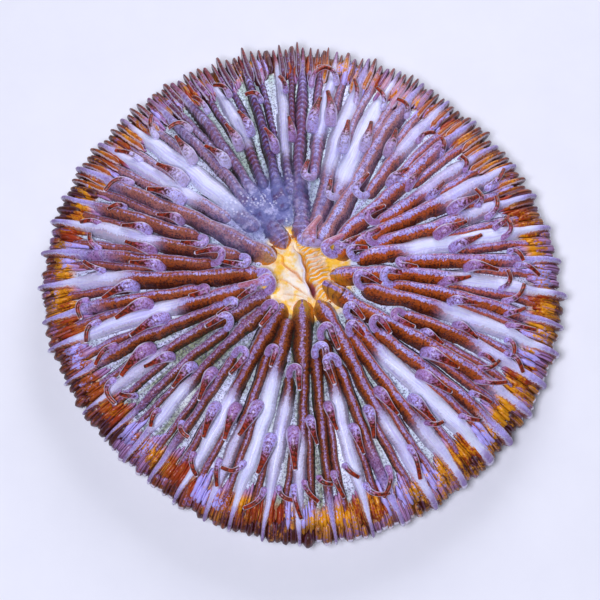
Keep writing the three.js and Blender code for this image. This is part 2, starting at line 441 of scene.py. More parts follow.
def floor_point(angle, radius_share, lift=0.0, reach=0.0):
    """A place on the valley floor: a dome out to the rim, with the mouth, the veil and the
    bleached stretches, which are swollen."""
    held = sizes()
    radius = outline(angle) * radius_share + reach
    x = radius * np.cos(angle)
    y = radius * np.sin(angle)
    dome = (held.crown - held.rim) * np.clip(1 - radius_share**2, 0, 1) ** DOME_FULLNESS
    swell = VEIL_SWELL * veil_cover(angle, radius_share) + BLEACH_SWELL * bleach_cover(angle, radius_share)
    return np.stack([x, y, held.rim + dome + mouth_relief(x, y) + swell + lift], axis=-1)


def station_angle(station):
    """The angle of a station: even steps with a little scatter."""
    return (station + STATION_SCATTER * scatter(station % STATIONS)) * TURN / STATIONS


def ridges_of(cycles):
    """Stations, angles, starts, ends, heights and half widths of the ridges of the named cycles."""
    rows = []
    for cycle in cycles:
        kind = CYCLES[cycle]
        station = np.arange(kind["first"], STATIONS, kind["every"])
        start = kind["start"] * (1 + kind["scatter"] * scatter(station, START_STRIDE))
        start = np.where(station == FINGER_STATION, FINGER_START, start)
        measures = (kind["end"], kind["height"] * MM, kind["half_width"] * MM)
        rows.append((station, start, *(np.full(len(station), measure) for measure in measures)))
    station, start, end, height, half_width = (np.concatenate(column) for column in zip(*rows))
    return station, station_angle(station), start, end, height, half_width


def bent_angle(angle, radius_share, seed):
    """The angle of a ridge along its length: it strays by itself and sways with its neighbours."""
    held = sizes()
    stray = held.ridge_wander * ripple(14 * radius_share, seed) * smoothstep(radius_share, 0.0, 0.3)
    swayed = held.ridge_sway * np.sin(4 * angle + 5 * radius_share) * smoothstep(radius_share, 0.15, 0.6)
    return angle + (stray + swayed) / (disc_radius() * radius_share)


def ridge_profile(count):
    """A closed section from one side to the other: a thin foot, a flank, a rounded crest and back
    down, and a shallow keel below the floor. The height goes with a power of what is left of the
    half width. Gives places across, heights, and how far each is from the crest."""
    crown = np.sin(np.linspace(1, -1, count - 5) * math.pi / 2)
    across = np.concatenate([[RIDGE_FOOT], crown, [-RIDGE_FOOT, -0.7, 0.0, 0.7]])
    arch = np.clip(1 - np.abs(crown) ** 2.4, 0, 1) ** 0.8
    rise = np.concatenate([[-0.03], arch, [-0.03, -0.7, -1.0, -0.7]])
    off = np.concatenate([np.abs(across[:-3]), np.full(3, RIDGE_FOOT)])
    return across, rise, off


def round_profile(count):
    """A closed round section."""
    around = TURN * np.arange(count) / count
    return around, np.cos(around), np.sin(around)


def off_crest(around, lean=0.0):
    """How far round from the crest a corner is: 0 on it, 1 at the foot of either flank. The crest may
    lean to one side by an angle."""
    return np.abs(np.mod(around - math.pi / 2 - lean + math.pi, TURN) - math.pi) / (math.pi / 2)


def by_corner(values):
    """Values by tube, or by tube and ring, with the axes that they lack added at the end."""
    values = np.asarray(values)
    return values.reshape(values.shape + (1,) * (3 - values.ndim))


def carry(paths, sides, half_widths, heights, depths, across, rise):
    """Rings of a profile carried along paths: across it by half width along the side, up by
    height and down by depth along the normal of path and side."""
    tangents = np.gradient(paths, axis=1)
    ups = np.cross(tangents, sides)
    ups /= np.linalg.norm(ups, axis=-1, keepdims=True)
    lift = np.where(rise > 0, by_corner(heights) * rise, by_corner(depths) * rise)
    return (
        paths[:, :, None]
        + sides[:, :, None] * (by_corner(half_widths) * across)[..., None]
        + ups[:, :, None] * lift[..., None]
    )


def skin(name, rings, columns, attributes):
    """A mesh over rings, tubes by rings by corners, with both ends of each tube closed on a pole.
    Each tube has a cell of its own in the bake's map, with so many cells side by side. Attributes
    go by tube, by tube and ring, or by corner too."""
    tubes, count, corners, _ = rings.shape
    each = count * corners + 2
    poles = np.stack([rings[:, 0].mean(axis=1), rings[:, -1].mean(axis=1)], axis=1)
    points = np.concatenate([rings.reshape(tubes, -1, 3), poles], axis=1)
    first = (np.arange(tubes) * each)[:, None, None]
    ring = np.arange(count - 1)[None, :, None] * corners
    corner = np.arange(corners)[None, None, :]
    after = (corner + 1) % corners
    quads = np.stack(np.broadcast_arrays(
        first + ring + corner, first + ring + after,
        first + ring + corners + after, first + ring + corners + corner,
    ), axis=-1).reshape(-1, 4)
    start, end = first + count * corners, first + count * corners + 1
    last = first + (count - 1) * corners
    heads = np.stack(np.broadcast_arrays(start, first + after, first + corner), axis=-1).reshape(-1, 3)
    tails = np.stack(np.broadcast_arrays(end, last + corner, last + after), axis=-1).reshape(-1, 3)
    loops = np.concatenate([quads.ravel(), heads.ravel(), tails.ravel()])
    totals = np.concatenate([np.full(len(quads), 4), np.full(len(heads) + len(tails), 3)])

    mesh = bpy.data.meshes.new(name)
    mesh.vertices.add(points.shape[0] * points.shape[1])
    mesh.vertices.foreach_set("co", points.astype(np.float32).ravel())
    mesh.loops.add(len(loops))
    mesh.loops.foreach_set("vertex_index", loops.astype(np.int32))
    mesh.polygons.add(len(totals))
    mesh.polygons.foreach_set("loop_start", (np.cumsum(totals) - totals).astype(np.int32))
    mesh.polygons.foreach_set("use_smooth", np.ones(len(totals), bool))
    mesh.update(calc_edges=True)
    for label, values in attributes.items():
        full = np.broadcast_to(by_corner(values), (tubes, count, corners))
        ends = np.stack([full[:, 0].mean(axis=1), full[:, -1].mean(axis=1)], axis=1)
        flat = np.concatenate([full.reshape(tubes, -1), ends], axis=1)
        layer = mesh.attributes.new(label, "FLOAT", "POINT")
        layer.data.foreach_set("value", flat.astype(np.float32).ravel())
    map_cells(mesh, tubes, count, corners, columns)
    mesh.validate()
    coral_piece = bpy.data.objects.new(name, mesh)
    bpy.context.scene.collection.objects.link(coral_piece)
    return coral_piece


def map_cells(mesh, tubes, count, corners, columns):
    """The bake's map: rings run along a tube's cell, and corners across it."""
    rows = math.ceil(tubes / columns)
    margin = 0.02
    tube = np.arange(tubes)[:, None, None, None]
    ring = np.arange(count - 1)[None, :, None, None]
    corner = np.arange(corners)[None, None, :, None]
    along = (ring + 1 + np.array([0, 0, 1, 1])) / (count + 1)
    across = (corner + np.array([0, 1, 1, 0])) / corners
    head_along = np.array([0.0, 1, 1]) / (count + 1)
    head_across = (corner + np.array([0.5, 1, 0])) / corners
    tail_across = (corner + np.array([0.5, 0, 1])) / corners

    def placed(part_along, part_across):
        u = (tube % columns + margin + (1 - 2 * margin) * part_along) / columns
        v = (tube // columns + margin + (1 - 2 * margin) * part_across) / rows
        return np.stack(np.broadcast_arrays(u, v), axis=-1).reshape(-1, 2)

    places = np.concatenate([
        placed(along, across), placed(head_along, head_across), placed(1 - head_along, tail_across)
    ])
    layer = mesh.uv_layers.new(name="OFBake")
    layer.uv.foreach_set("vector", places.astype(np.float32).ravel())


def dress(piece, material):
    """Gives a piece its material, and its place and finish in the frame."""
    piece.data.materials.append(material)
    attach(piece, "root")
    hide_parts("coral")


# Pieces

def ring_points(radius, angle, height):
    """Points at a radius, an angle and a height."""
    radius, angle, height = np.broadcast_arrays(radius, angle, height)
    return np.stack([radius * np.cos(angle), radius * np.sin(angle), height], axis=-1)


def body_rings():
    """Rings of the disc: out over the floor, round the rim and in under it to the scar."""
    held = sizes()
    bulge = 0.35 * MM
    edge_rib = 0.15 * MM
    under_rib = 0.32 * MM
    angle = -TURN * np.arange(BODY_COLUMNS) / BODY_COLUMNS
    ribs = np.cos(STATIONS * angle)
    top_share = np.concatenate([np.linspace(*MOUTH_RINGS), np.linspace(*VALLEY_RINGS)])[:, None]
    turn_down = np.linspace(0, 1, EDGE_RINGS)[1:, None]
    edge_radius = outline(angle) + bulge * np.sin(turn_down * math.pi) + edge_rib * ribs * turn_down
    edge_height = held.rim - held.rim_thickness * turn_down
    under = np.linspace(0, 1, UNDER_RINGS)[1:, None]
    scar_radius = SCAR_SHARE * disc_radius()
    edge_end = outline(angle) * UNDERSIDE_REACH
    under_radius = edge_end + (scar_radius - edge_end) * under
    under_height = (held.rim - held.rim_thickness) * (1 - under) + under_rib * ribs * under * (1 - under)
    scar = np.linspace(1, 0, SCAR_RINGS)[1:-1, None]
    rings = [
        floor_point(angle[None], top_share),
        ring_points(edge_radius, angle, edge_height),
        ring_points(under_radius, angle, np.maximum(under_height, 0)),
        ring_points(scar_radius * scar, angle, 0.0),
    ]
    below = [0 * top_share, 0.5 * turn_down, np.ones_like(under), np.ones_like(scar)]
    outward = [top_share, np.ones_like(turn_down), 1 - 0.6 * under, 0.4 * scar]
    rings, outward, below = (np.concatenate(parts)[None] for parts in (rings, outward, below))
    return rings, outward, below, angle[None, None]


def build_body():
    """The disc under the ridges, with the mouth at its crown."""
    rings, outward, below, angle = body_rings()
    along, left = slit_place(rings[..., 0], rings[..., 1])
    opening = slit_opening(along)
    above = below == 0
    mouth = np.exp(-np.square((along / 8.4) ** 2 + (left / 7.0) ** 2))
    lip = lip_cover(along, left) * above
    slit = bell(slit_offset(along, left) + 0.25 * opening, 0.2 + 0.36 * opening) * plateau(along, 4.2)
    body = skin("coral_body", rings, columns=1, attributes={
        "outward": outward,
        "below": below,
        "mouth": np.maximum(mouth, mouth_cover(angle, outward)) * above,
        "lip": lip,
        "crease": lip_creases(along, left) * lip,
        "edge": lip_edge(along, left) * above,
        "slit": slit * above,
        "open": opening,
        "fold": mouth_folds(along, left) * band_cover(along, left) * above,
        "veil": veil_cover(angle, outward) * above,
        "bleach": bleach_cover(angle, outward) * above,
        "mint": MINT_ALL_ROUND + cover("mint", angle),
        "olive": cover("olive", angle),
        "turn": angle * STATIONS / TURN,
    })
    dress(body, floor_material())


def ridge_paths(angle, start, end, count, seed, bend_share=0.05):
    """Paths of ridges from their starts over the floor to their ends. Those that end at the rim
    stand out from it and bend down over its edge in the last share of their length."""
    held = sizes()
    step = np.linspace(0, 1, count)[None]
    at_rim = (end >= 1)[:, None]
    bend_start = np.where(at_rim, 1 - bend_share, 1.0)
    radius_share = start[:, None] + (end - start)[:, None] * np.clip(step / bend_start, 0, 1)
    over = np.clip((step - bend_start) / bend_share, 0, 1) * at_rim
    bent = bent_angle(angle[:, None], radius_share, seed[:, None])
    turned = over * math.pi / 2
    before = TOOTH_BEFORE_BEND * smoothstep(radius_share, TOOTH_START, 1)
    reach = held.tooth * (before + (1 - TOOTH_BEFORE_BEND) * np.sin(turned))
    drop = -BEND_DROP * held.rim_thickness * (1 - np.cos(turned))
    paths = floor_point(bent, radius_share, drop, reach * at_rim)
    sides = np.stack([-np.sin(bent), np.cos(bent), np.zeros_like(bent)], axis=-1)
    return paths, sides, bent, radius_share, over


def end_caps(paths, head, tail):
    """How full a tube is along its path, rounded over the head's length and the tail's as a quarter
    circle is, and how far along it each place is."""
    steps = np.linalg.norm(np.diff(paths, axis=1), axis=-1)
    run = np.concatenate([np.zeros((len(paths), 1)), np.cumsum(steps, axis=1)], axis=1)
    near_head, near_tail = (
        np.sqrt(np.clip(1 - np.square(1 - np.clip(way / reach, 0, 1)), THINNEST_END**2, 1))
        for way, reach in ((run, head), (run[:, -1:] - run, tail))
    )
    return near_head * near_tail, run


def ridge_breadth(station, angle, radius_share, half_width, lobe, pale):
    """Half widths of ridges along their paths: wider near the crown and uneven, narrower where they
    are dusky or brown, within the room that neighbours leave, and pointed or blunt at the rim."""
    row = station[:, None]
    main = row % 2 == 0
    dusk, brown, blunt = (cover(patch, angle)[:, None] for patch in ("dusk", "brown", "blunt"))
    breadth = half_width[:, None] * (1 + 0.3 * main * (1 - smoothstep(radius_share, 0.2, 0.45)))
    breadth = breadth * (1 + 0.12 * ripple(9 * radius_share, row + BREADTH_SEED))
    breadth = breadth * (1 - 0.3 * lobe * main * (1 - blunt))
    breadth = breadth * (1 - (0.32 * dusk + 0.3 * brown) * smoothstep(radius_share, 0.25, 0.45))
    room = disc_radius() * radius_share * TURN / STATIONS
    steps = 3.6 - 1.7 * smoothstep(radius_share, 0.17, 0.25) - 0.85 * smoothstep(radius_share, 0.3, 0.42)
    crowd = room * np.where(main, steps, 1.0)
    crowd = np.where(row == FINGER_STATION, np.maximum(crowd, 1.5 * MM), crowd)
    breadth = np.minimum(breadth, crowd) * (1 + 0.12 * pale * (1 - lobe))
    point = (0.4 + 0.2 * scatter(row, 13)) * main * (1 - 0.85 * blunt)
    return breadth * (1 - point * smoothstep(radius_share, 0.91, 1.0))


def build_ridges(name, cycles, count, corners, columns):
    """Ridges of some cycles: an arch carried along each path, wandering, swelling and beaded, and
    flatter and wider where it is bleached."""
    held = sizes()
    station, angle, start, end, height, half_width = ridges_of(cycles)
    row = station[:, None]
    main = row % 2 == 0
    dusk, brown, blush = (cover(patch, angle)[:, None] for patch in ("dusk", "brown", "blush"))
    paths, sides, bent, radius_share, over = ridge_paths(angle, start, end, count, station)
    caps, run = end_caps(paths, head=1.6 * MM, tail=1.0 * MM)
    pale = pale_cover(angle[:, None], radius_share) * main
    veil = veil_cover(bent, radius_share)
    lobe = smoothstep(radius_share, TAPER_START, 0.93)
    breadth = ridge_breadth(station, angle, radius_share, half_width, lobe, pale)
    rise = height[:, None] * (1 - held.ridge_taper * lobe) * (1 - 0.7 * veil)
    rise = rise * (1 - 0.4 * dusk - 0.4 * brown) * (1 - 0.6 * pale * (1 - 0.6 * lobe))
    rise = rise * (1 + 0.14 * ripple(11 * radius_share, row + RISE_SEED))
    ringed = 2.4 * dusk * (1 - pale) * np.sin(TURN * run / (RING_STEP * MM))
    beads = held.ridge_beads * (ripple(run / (0.16 * MM), row) + ringed) * (1 - pale)
    across, rising, off = ridge_profile(corners)
    grain = 1 + by_corner(beads / (0.9 * MM)) * np.cos(2 * across + by_corner(station)) ** 2
    half_widths = by_corner(breadth * caps) * grain
    heights = by_corner(rise * caps) * grain
    rings = carry(paths, sides, half_widths, heights, 0.8 * MM * caps, across, rising)
    rust_end = 0.8 + 0.1 * scatter(row, 5) + cover("long_rust", bent)
    rust = np.where(main, 1 - smoothstep(radius_share, rust_end - 0.06, rust_end + 0.08), 0.9)
    ridges = skin(name, rings, columns, {
        "across": off[None, None],
        # How far a place lies on the ridge's side towards +y, away from the front; the material paints that
        # side lighter, as painted light
        "far": np.clip(across * by_corner(np.cos(bent)), 0, 1),
        "run": run / MM,
        "outward": radius_share + OVER_EDGE * over,
        "pale": pale,
        "veil": veil,
        "brown": brown,
        "dusk": dusk,
        "blush": blush,
        "olive": cover("olive", angle),
        "rust": rust * (1 - dusk) * (1 - 0.55 * blush),
        "red": cover("red", bent),
        "low": 1.0 * ~main,
        "tone": scatter(station, 11),
    })
    dress(ridges, ridge_material(name))


def between_ridges(each, margin, stray):
    """Numbers and angles of so many places between every two main ridges: even steps, with a margin
    before the first and after the last, and each off its place by up to so much of a step."""
    gap = np.repeat(np.arange(0, STATIONS, 2), each)
    number = np.arange(len(gap))
    place = (number % each + margin + stray * scatter(number, 5)) / (each - 1 + 2 * margin)
    near = station_angle(gap)
    return number, near + (station_angle(gap + 2) - near) * (0.1 + 0.8 * place)


def rim_marks(number, angle):
    """What the rim's materials ask of every fold and lobe."""
    return {
        "light": LIGHT_ALL_ROUND + cover("light", angle),
        "gilt": cover("gilt", angle),
        "tone": scatter(number, 13),
    }


def build_folds():
    """Fine folds of the rim between the main ridges: thin blades that start a little way in and run
    out under the lobes."""
    number, angle = between_ridges(sizes().rim_folds, margin=1.0, stray=0.5)
    row = number[:, None]
    start = 0.882 + 0.045 * scatter(number, 3)
    end = 0.985 + 0.012 * scatter(number, 4)
    paths, sides, _, radius_share, _ = ridge_paths(angle, start, end, FOLD_RINGS, number + FOLD_SEED)
    caps, _ = end_caps(paths, head=1.6 * MM, tail=0.6 * MM)
    across, rising, off = ridge_profile(FOLD_CORNERS)
    size = MM * caps * (1 + 0.5 * scatter(row, 7)) * (1 + 0.3 * ripple(40 * radius_share, row))
    rings = carry(paths, sides, 0.3 * size, 0.75 * size, 0.5 * size, across, rising)
    folds = skin("rim_folds", rings, columns=12, attributes={
        "across": off[None, None],
        "outward": radius_share,
        **rim_marks(number, angle),
    })
    dress(folds, fold_material())


def build_lobes():
    """Lobes that hang over the rim between the main ridges: short flat arches, and behind the mouth
    longer fingers."""
    number, angle = between_ridges(sizes().rim_lobes, margin=0.5, stray=0.3)
    row = number[:, None]
    finger = finger_cover(angle) * (0.65 + 0.35 * scatter(number, 15))
    upright = finger[:, None]
    start = 0.95 + 0.03 * scatter(number, 3) - 0.11 * finger
    end = np.ones(len(number))
    paths, sides, bent, radius_share, over = ridge_paths(
        angle, start, end, LOBE_RINGS, number + LOBE_SEED, bend_share=0.4
    )
    longer = MM * (0.4 * scatter(row, 9) - 0.05) * smoothstep(radius_share, 0.94, 1)
    paths = paths + ring_points(longer, bent, 0.0)
    caps, run = end_caps(paths, head=1.0 * MM, tail=0.9 * MM)
    along = run / run[:, -1:]
    across, rising, off = ridge_profile(LOBE_CORNERS)
    size = MM * caps * (1 + 0.3 * scatter(row, 7))
    half_widths = (0.66 - 0.06 * upright) * size * (1 - 0.6 * upright * smoothstep(along, 0.2, 1.0))
    groove = 1 - 0.2 * np.square(np.sin(6 * across + by_corner(number))) * (1 - by_corner(finger))
    heights = by_corner((0.7 + 0.9 * upright) * size) * groove
    rings = carry(paths, sides, half_widths, heights, 0.5 * size, across, rising)
    lobes = skin("rim_lobes", rings, columns=12, attributes={
        "across": off[None, None],
        "side": across[None, None],
        "outward": radius_share + OVER_EDGE * over,
        "along": along,
        "finger": finger,
        "dusk": cover("dusk", angle) + 0.5 * scatter(number, 21),
        **rim_marks(number, angle),
    })
    dress(lobes, lobe_material())


def lean_side(number):
    """Which way tentacles lean: three of four to the left as seen from the crown, and the rest right."""
    return np.where(scatter(number, 5) > -0.5, 1.0, -1.0)


def hook_shape():
    """Hooked tentacles at the heads of the main ridges: each goes in from the head, bends round
    to one side in a half circle and comes back out over the valley."""
    held = sizes()
    station, angle, start, _, height, _ = ridges_of((0, 1, 2))
    bare = np.isin(station, BARE_STATIONS) | (veil_cover(angle, start) > 0.3)
    keep = ~bare & ((start > INNER_START) | (scatter(station, 3) > -0.3))
    station, angle, start, height = station[keep], angle[keep], start[keep], height[keep]
    row = station[:, None]
    inner = (start < INNER_START)[:, None]
    step = np.linspace(0, 1, HOOK_RINGS)[None]
    bend_start, bend_end = 0.1, 0.52
    turned = math.pi * np.clip((step - bend_start) / (bend_end - bend_start), 0, 1)
    leg = np.clip((step - bend_end) / (1 - bend_end), 0, 1)
    root = 0.9 * MM * (1 - np.clip(step / bend_start, 0, 1))
    size = (1 + 0.25 * scatter(row, 9)) * np.where(inner, 1.1, 1.0)
    bend = held.hook_bend * size
    out = root - bend * np.sin(turned) + held.hook_length * size * leg
    side = bend * (1 - np.cos(turned)) + 0.7 * MM * leg**1.5 * scatter(row, 7)
    lift = height[:, None] * (0.45 + 0.7 * smoothstep(step, 0, 0.4) - 0.35 * smoothstep(step, 0.5, 1))
    stout = (0.9 + 0.1 * size) * np.where(inner, 1.2, 1.0)
    radius = held.hook_radius * stout * (1 - 0.4 * smoothstep(step, 0.35, 1))
    marks = {"core": 0.5, "tipped": np.where(inner, 0.3, 1.0)}
    return station, angle, start, out, side * lean_side(row), lift, radius, marks


def hood_shape():
    """Hooded tentacles at the heads of the short ridges: a round head that rises out of the valley
    and narrows to a finger, which bends to one side."""
    held = sizes()
    station, angle, start, _, _, _ = ridges_of((3,))
    row = station[:, None]
    step = np.linspace(0, 1, HOOD_RINGS)[None]
    size = 1 + 0.22 * scatter(row, 9) + cover("stout", angle)[:, None]
    out = held.hood_length * size * step - 1.0 * MM
    side = 1.5 * MM * size * step**1.8 * lean_side(row) * (0.6 + 0.4 * scatter(row, 7))
    lift = 0.3 * MM + 2.1 * MM * smoothstep(step, 0, 0.35) - 0.7 * MM * smoothstep(step, 0.45, 1)
    radius = held.hood_radius * size * (0.32 + 0.68 * bell(step - 0.22, 0.42))
    return station, angle, start, out, side, lift, radius, {"core": 0.4, "tipped": 1.0}


def slim_shape():
    """Slim tentacles near the rim: each leaves its wider root and turns well to one side."""
    held = sizes()
    station = np.arange(STATIONS)
    angle = (station_angle(station) + station_angle(station + 1)) / 2
    keep = scatter(station, 17) > -0.2 - 0.8 * np.cos(angle)
    station, angle = station[keep], angle[keep]
    row = station[:, None]
    start = 0.8 + 0.05 * scatter(station, 3)
    step = np.linspace(0, 1, SLIM_RINGS)[None]
    swing = math.radians(105) * (0.55 + 0.45 * scatter(row, 7)) * lean_side(row)
    turned = swing * smoothstep(step, 0, 0.9)
    stride = held.slim_length * (1 + 0.3 * scatter(row, 9)) / SLIM_RINGS
    out = stride * np.cumsum(np.cos(turned), axis=1)
    side = stride * np.cumsum(np.sin(turned), axis=1)
    lift = 0.7 * MM + 1.7 * MM * smoothstep(step, 0, 0.5) - 0.4 * MM * smoothstep(step, 0.6, 1)
    radius = held.slim_radius * (1 + 0.35 * bell(step - 0.06, 0.25) - 0.2 * step)
    return station + SLIM_SEED, angle, start, out, side, lift, radius, {"core": 0.32, "tipped": 1.0}


def build_tentacles(name, shape, columns):
    """Tentacles of one shape: a round section carried along paths over the floor, closed round."""
    seed, angle, start, out, side, lift, radius, marks = shape
    from_middle = disc_radius() * start[:, None] + out
    radius_share = from_middle / disc_radius()
    rooted = bent_angle(angle, start, seed % STATIONS)
    bent = rooted[:, None] + side / from_middle
    past_rim = np.maximum(from_middle - disc_radius(), 0)
    paths = floor_point(bent, np.minimum(radius_share, 1.0), lift, past_rim)
    tangents = np.gradient(paths, axis=1)
    sides = np.stack([-tangents[..., 1], tangents[..., 0], np.zeros_like(bent)], axis=-1)
    sides /= np.linalg.norm(sides, axis=-1, keepdims=True)
    caps, run = end_caps(paths, head=0.7 * MM, tail=0.4 * MM)
    around, across, rising = round_profile(TENTACLE_CORNERS)
    girth = radius * caps
    rings = carry(paths, sides, girth, 0.9 * girth, 0.9 * girth, across, rising)
    tentacles = skin(name, rings, columns, {
        "across": off_crest(around, 0.3 * sides[..., 1:2]),
        "along": run / run[:, -1:],
        "tone": scatter(seed, 11),
        "blush": cover("blush", angle),
        **marks,
    })
    dress(tentacles, tentacle_material(name))


# Materials

# How light meets the wet tissue
WET_TISSUE = {
    "Specular IOR Level": 0.45,
    "Coat Weight": 0.16,
    "Coat Roughness": 0.15,
    "Subsurface Weight": 0.12,
    "Subsurface Radius": (1.0, 0.6, 0.6),
    "Subsurface Scale": 0.4 * MM,
    "Sheen Weight": 0.03,
    "Sheen Roughness": 0.35,
    "Sheen Tint": paint(214, 200, 255),
}


class Value:
    """A number that a node gives. Arithmetic on it adds Math nodes to its finish."""

    def __init__(self, finish, socket):
        self.finish = finish
        self.socket = socket

    def _math(self, operation, first, second):
        return self.finish.node("ShaderNodeMath", {"operation": operation}, {0: first, 1: second})

    def __add__(self, other):
        return self._math("ADD", self, other)

    __radd__ = __add__

    def __sub__(self, other):
        return self._math("SUBTRACT", self, other)

    def __rsub__(self, other):
        return self._math("SUBTRACT", other, self)

    def __mul__(self, other):
        return self._math("MULTIPLY", self, other)

    __rmul__ = __mul__

    def ramp(self, low, high):
        """0 at low and 1 at high, with level ends; low may be the larger."""
        span = {"Value": self, "From Min": low, "From Max": high}
        return self.finish.node("ShaderNodeMapRange", {"interpolation_type": "SMOOTHSTEP"}, span)

    def wave(self):
        """The sine of the value, from 0 to 1."""
        return self._math("SINE", self, 0.0) * 0.5 + 0.5


class Finish:
    """A node material with one shader, whose nodes are added by expressions."""

    def __init__(self, name):
        self.material = bpy.data.materials.new(name)
        self.material.use_nodes = True
        self.tree = self.material.node_tree
        self.shader = self.tree.nodes["Principled BSDF"]

    def put(self, socket, value):
        """Links a value to a socket, or sets the socket to a plain number or colour."""
        if isinstance(value, Value):
            self.tree.links.new(value.socket, socket)
        elif socket.type == "RGBA":
            socket.default_value = (*value[:3], 1.0)
        else:
            socket.default_value = value

    def node(self, kind, settings, inputs, output=0):
        """Adds a node, sets its settings and then its sockets, and gives one of its outputs."""
        node = self.tree.nodes.new(kind)
        for key, setting in settings.items():
            setattr(node, key, setting)
        for key, value in inputs.items():
            self.put(node.inputs[key], value)
        return Value(self, node.outputs[output])

    def attribute(self, name):
        """A value that the piece's mesh holds."""
        return self.node("ShaderNodeAttribute", {"attribute_name": name}, {}, "Fac")

    def attributes(self, names):
        """The values that the piece's mesh holds under some names, which spaces part."""
        return [self.attribute(name) for name in names.split()]

    def place(self):
        """Object coordinates, in metres."""
        return self.node("ShaderNodeTexCoord", {}, {}, "Object")

    def noise(self, size, detail=2.0, vector=None):
        """Noise from 0 to 1 with lumps of about the given size, in metres or in the vector's own unit."""
        where = self.place() if vector is None else vector
        inputs = {"Vector": where, "Scale": 0.6 / size, "Detail": detail, "Roughness": 0.6}
        return self.node("ShaderNodeTexNoise", {}, inputs, 0)

    def grain(self, size=FINE_GRAIN):
        """Fine noise, from 0 to 1."""
        return self.noise(size, 3.0)

    def dots(self, size):
        """Small round dots, 1 in their middles, at about the given spacing in metres."""
        inputs = {"Vector": self.place(), "Scale": 1 / size}
        return self.node("ShaderNodeTexVoronoi", {}, inputs, "Distance").ramp(0.5, 0.25)

    def vector(self, x, y, z):
        """A vector from three values."""
        return self.node("ShaderNodeCombineXYZ", {}, {0: x, 1: y, 2: z})

    def mix(self, factor, first, second):
        """A colour between two colours."""
        settings = {"data_type": "RGBA", "clamp_factor": True}
        return self.node("ShaderNodeMix", settings, {0: factor, 6: first, 7: second}, 2)

    def layers(self, base, *laid):
        """A colour with others laid over it in turn, each as far as the factor before it says."""
        for factor, over in laid:
            base = self.mix(factor, base, over)
        return base

    def veiled(self, held):
        """The haze behind the mouth: grey blue with dark and light wisps and white specks."""
        wisps = self.noise(1.4 * MM, 4.0)
        specks = self.dots(0.5 * MM) * self.noise(1.6 * MM).ramp(0.52, 0.62)
        return self.layers(
            held.veil,
            (wisps.ramp(0.5, 0.66) * 0.6, held.valley),
            (wisps.ramp(0.46, 0.34) * 0.8, held.speckle),
            (specks * 0.6, held.tip),
        )

    def gilded(self, coarse):
        """How golden the rim is: large patches with ragged edges, and more where it is gilt."""
        gilt, tone = self.attributes("gilt tone")
        return self.noise(8 * MM) + gilt * 0.1 + (coarse - 0.5) * 0.3 + tone * 0.05

    def bump(self, height, depth):
        """A normal that is roughened by a height, over a depth in metres."""
        return self.node("ShaderNodeBump", {}, {"Height": height, "Distance": depth, "Strength": 1.0})

    def wet(self, colour_value, roughness, normal):
        """Sets the shader to wet tissue with a colour, a roughness and a normal."""
        surface = {"Base Color": colour_value, "Roughness": roughness, "Normal": normal, **WET_TISSUE}
        for key, value in surface.items():
            self.put(self.shader.inputs[key], value)
        return self.material


def painted_glint(outward, side):
    """A painted highlight: a thin pale band across the end of a ridge or lobe where it bends over the edge.
    """
    return outward.ramp(1.019, 1.025) * outward.ramp(1.046, 1.04) * side.ramp(0.7, 0.5)


